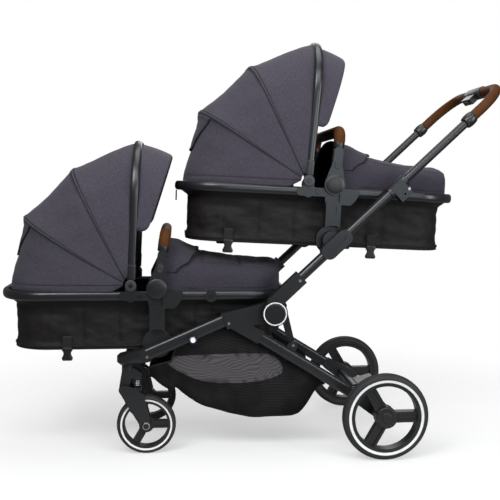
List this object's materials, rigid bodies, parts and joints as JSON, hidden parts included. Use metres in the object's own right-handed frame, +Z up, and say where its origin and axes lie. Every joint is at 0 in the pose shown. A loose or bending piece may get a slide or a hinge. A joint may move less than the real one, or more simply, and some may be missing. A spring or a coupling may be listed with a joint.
{
  "type": "twin pram",
  "caption": "Tandem pram with a low front and a high rear carrycot, folding hoods and bumper bars, a folding chassis with a telescopic push handle, sprung casters and a basket.",
  "frame": {"origin": "on the floor, under the middle of the whole pram", "axes": "+X towards the push handle, +Y across, +Z up"},
  "size_m": [1.4176, 0.59, 1.1654],
  "materials": {
    "frame_tube": "satin black",
    "plastic": "matte",
    "button": "matte",
    "tyre": "matte",
    "spring": "plain",
    "lens": "clear white",
    "mesh": "mesh",
    "dark_cloth": "woven",
    "melange": "woven melange",
    "mattress": "quilted",
    "leather": "stitched"
  },
  "bodies": {
    "base": {"front_tubes": "frame_tube", "caster_housings": "plastic", "cross_tubes": "frame_tube", "lower_knuckles": "plastic", "hub_caps": "plastic", "lower_adapters": "plastic", "lamps": "plastic", "lamp_lenses": "lens", "basket": "mesh", "rear_legs": "frame_tube", "leg_fittings": "plastic", "struts": "frame_tube", "wheel_housings": "plastic"},
    "brake": {"brake_pedal": "plastic"},
    "rear_wheel_near": {"rear_tyre_near": "tyre", "rear_rim_near": "plastic"},
    "caster_near": {"caster_stem_near": "plastic", "caster_spring_near": "spring"},
    "fork_near": {"caster_fork_near": "plastic"},
    "front_wheel_near": {"front_tyre_near": "tyre", "front_rim_near": "plastic"},
    "rear_wheel_far": {"rear_tyre_far": "tyre", "rear_rim_far": "plastic"},
    "caster_far": {"caster_stem_far": "plastic", "caster_spring_far": "spring"},
    "fork_far": {"caster_fork_far": "plastic"},
    "front_wheel_far": {"front_tyre_far": "tyre", "front_rim_far": "plastic"},
    "upper_frame": {"upper_knuckles": "plastic", "upper_tubes": "frame_tube", "upper_adapters": "plastic", "tube_locks": "plastic"},
    "handle": {"handle_tube": "frame_tube", "handle_fittings": "plastic", "handle_grip": "leather"},
    "handle_button": {"release_button": "button"},
    "lower_cot": {"lower_rail": "frame_tube", "lower_fittings": "plastic", "lower_tub": "dark_cloth", "lower_mattress": "mattress", "lower_apron": "melange", "lower_hood": "melange"},
    "lower_hood_bow": {"lower_bow": "frame_tube"},
    "lower_hood_rib": {"lower_rib": "frame_tube"},
    "lower_bumper": {"lower_bar": "plastic", "lower_bar_grip": "leather"},
    "lower_push_near": {"lower_button_near": "button"},
    "lower_push_far": {"lower_button_far": "button"},
    "upper_cot": {"upper_rail": "frame_tube", "upper_fittings": "plastic", "upper_tub": "dark_cloth", "upper_mattress": "mattress", "upper_apron": "melange", "upper_hood": "melange"},
    "upper_hood_bow": {"upper_bow": "frame_tube"},
    "upper_hood_rib": {"upper_rib": "frame_tube"},
    "upper_bumper": {"upper_bar": "plastic", "upper_bar_grip": "leather"},
    "upper_push_near": {"upper_button_near": "button"},
    "upper_push_far": {"upper_button_far": "button"}
  },
  "joints": [
    {"name": "brake_press", "type": "hinge", "parent": "base", "child": "brake", "pos_m": [0.32318, 0, 0.1387], "axis": [0, 1, 0], "range_deg": [0, 16]},
    {"name": "rear_spin_near", "type": "hinge", "parent": "base", "child": "rear_wheel_near", "pos_m": [0.35318, -0.274, 0.12], "axis": [0, 1, 0], "continuous": true},
    {"name": "caster_swivel_near", "type": "hinge", "parent": "base", "child": "caster_near", "pos_m": [-0.35382, -0.158, 0.256], "axis": [0, 0, 1], "continuous": true},
    {"name": "fork_spring_near", "type": "hinge", "parent": "caster_near", "child": "fork_near", "pos_m": [-0.36582, -0.158, 0.187], "axis": [0, -1, 0], "range_deg": [0, 8], "stiffness_Nm_per_rad": 40, "springref_deg": -14.32, "deforming": ["caster_spring_near"]},
    {"name": "front_spin_near", "type": "hinge", "parent": "fork_near", "child": "front_wheel_near", "pos_m": [-0.30382, -0.158, 0.083], "axis": [0, 1, 0], "continuous": true},
    {"name": "rear_spin_far", "type": "hinge", "parent": "base", "child": "rear_wheel_far", "pos_m": [0.35318, 0.274, 0.12], "axis": [0, 1, 0], "continuous": true},
    {"name": "caster_swivel_far", "type": "hinge", "parent": "base", "child": "caster_far", "pos_m": [-0.35382, 0.158, 0.256], "axis": [0, 0, 1], "continuous": true},
    {"name": "fork_spring_far", "type": "hinge", "parent": "caster_far", "child": "fork_far", "pos_m": [-0.36582, 0.158, 0.187], "axis": [0, -1, 0], "range_deg": [0, 8], "stiffness_Nm_per_rad": 40, "springref_deg": -14.32, "deforming": ["caster_spring_far"]},
    {"name": "front_spin_far", "type": "hinge", "parent": "fork_far", "child": "front_wheel_far", "pos_m": [-0.30382, 0.158, 0.083], "axis": [0, 1, 0], "continuous": true},
    {"name": "frame_fold", "type": "hinge", "parent": "base", "child": "upper_frame", "pos_m": [0.05118, 0, 0.404], "axis": [0, -1, 0], "range_deg": [0, 128]},
    {"name": "handle_slide", "type": "slide", "parent": "upper_frame", "child": "handle", "axis": [0.7337, 0, 0.6794], "range_m": [-0.16, 0]},
    {"name": "button_press", "type": "slide", "parent": "handle", "child": "handle_button", "axis": [0.7337, 0, 0.6794], "range_m": [0, 0.004], "stiffness_N_per_m": 400, "springref_m": -0.002},
    {"name": "lower_cot_lift", "type": "slide", "parent": "base", "child": "lower_cot", "axis": [-0.766, 0, 0.6428], "range_m": [0, 2.6]},
    {"name": "lower_hood_fold", "type": "hinge", "parent": "lower_cot", "child": "lower_hood_bow", "pos_m": [-0.34166, 0, 0.48038], "axis": [0, -1, 0], "range_deg": [0, 52], "deforming": ["lower_hood"]},
    {"name": "lower_rib_fold", "type": "hinge", "parent": "lower_cot", "child": "lower_hood_rib", "pos_m": [-0.34166, 0, 0.48038], "axis": [0, -1, 0], "range_deg": [0, 26]},
    {"name": "lower_bar_tilt", "type": "hinge", "parent": "lower_cot", "child": "lower_bumper", "pos_m": [-0.2697, 0, 0.473], "axis": [0, 1, 0], "range_deg": [-12, 4]},
    {"name": "lower_push_near", "type": "slide", "parent": "lower_bumper", "child": "lower_push_near", "axis": [0, 1, 0], "range_m": [0, 0.0025], "stiffness_N_per_m": 300, "springref_m": -0.002},
    {"name": "lower_push_far", "type": "slide", "parent": "lower_bumper", "child": "lower_push_far", "axis": [0, -1, 0], "range_m": [0, 0.0025], "stiffness_N_per_m": 300, "springref_m": -0.002},
    {"name": "upper_cot_lift", "type": "slide", "parent": "base", "child": "upper_cot", "axis": [-0.6428, 0, 0.766], "range_m": [0, 2.6]},
    {"name": "upper_hood_fold", "type": "hinge", "parent": "upper_cot", "child": "upper_hood_bow", "pos_m": [0.14979, 0, 0.7666], "axis": [0, -1, 0], "range_deg": [0, 52], "deforming": ["upper_hood"]},
    {"name": "upper_rib_fold", "type": "hinge", "parent": "upper_cot", "child": "upper_hood_rib", "pos_m": [0.14979, 0, 0.7666], "axis": [0, -1, 0], "range_deg": [0, 26]},
    {"name": "upper_bar_tilt", "type": "hinge", "parent": "upper_cot", "child": "upper_bumper", "pos_m": [0.22134, 0, 0.75597], "axis": [0, 1, 0], "range_deg": [-12, 28]},
    {"name": "upper_push_near", "type": "slide", "parent": "upper_bumper", "child": "upper_push_near", "axis": [0, 1, 0], "range_m": [0, 0.0025], "stiffness_N_per_m": 300, "springref_m": -0.002},
    {"name": "upper_push_far", "type": "slide", "parent": "upper_bumper", "child": "upper_push_far", "axis": [0, -1, 0], "range_m": [0, 0.0025], "stiffness_N_per_m": 300, "springref_m": -0.002}
  ],
  "couplings": [
    {"joint": "lower_cot_lift", "follows": "frame_fold", "m_per_rad": 1.15},
    {"joint": "lower_rib_fold", "follows": "lower_hood_fold", "ratio": 0.5},
    {"joint": "upper_cot_lift", "follows": "frame_fold", "m_per_rad": 1.15},
    {"joint": "upper_rib_fold", "follows": "upper_hood_fold", "ratio": 0.5}
  ]
}
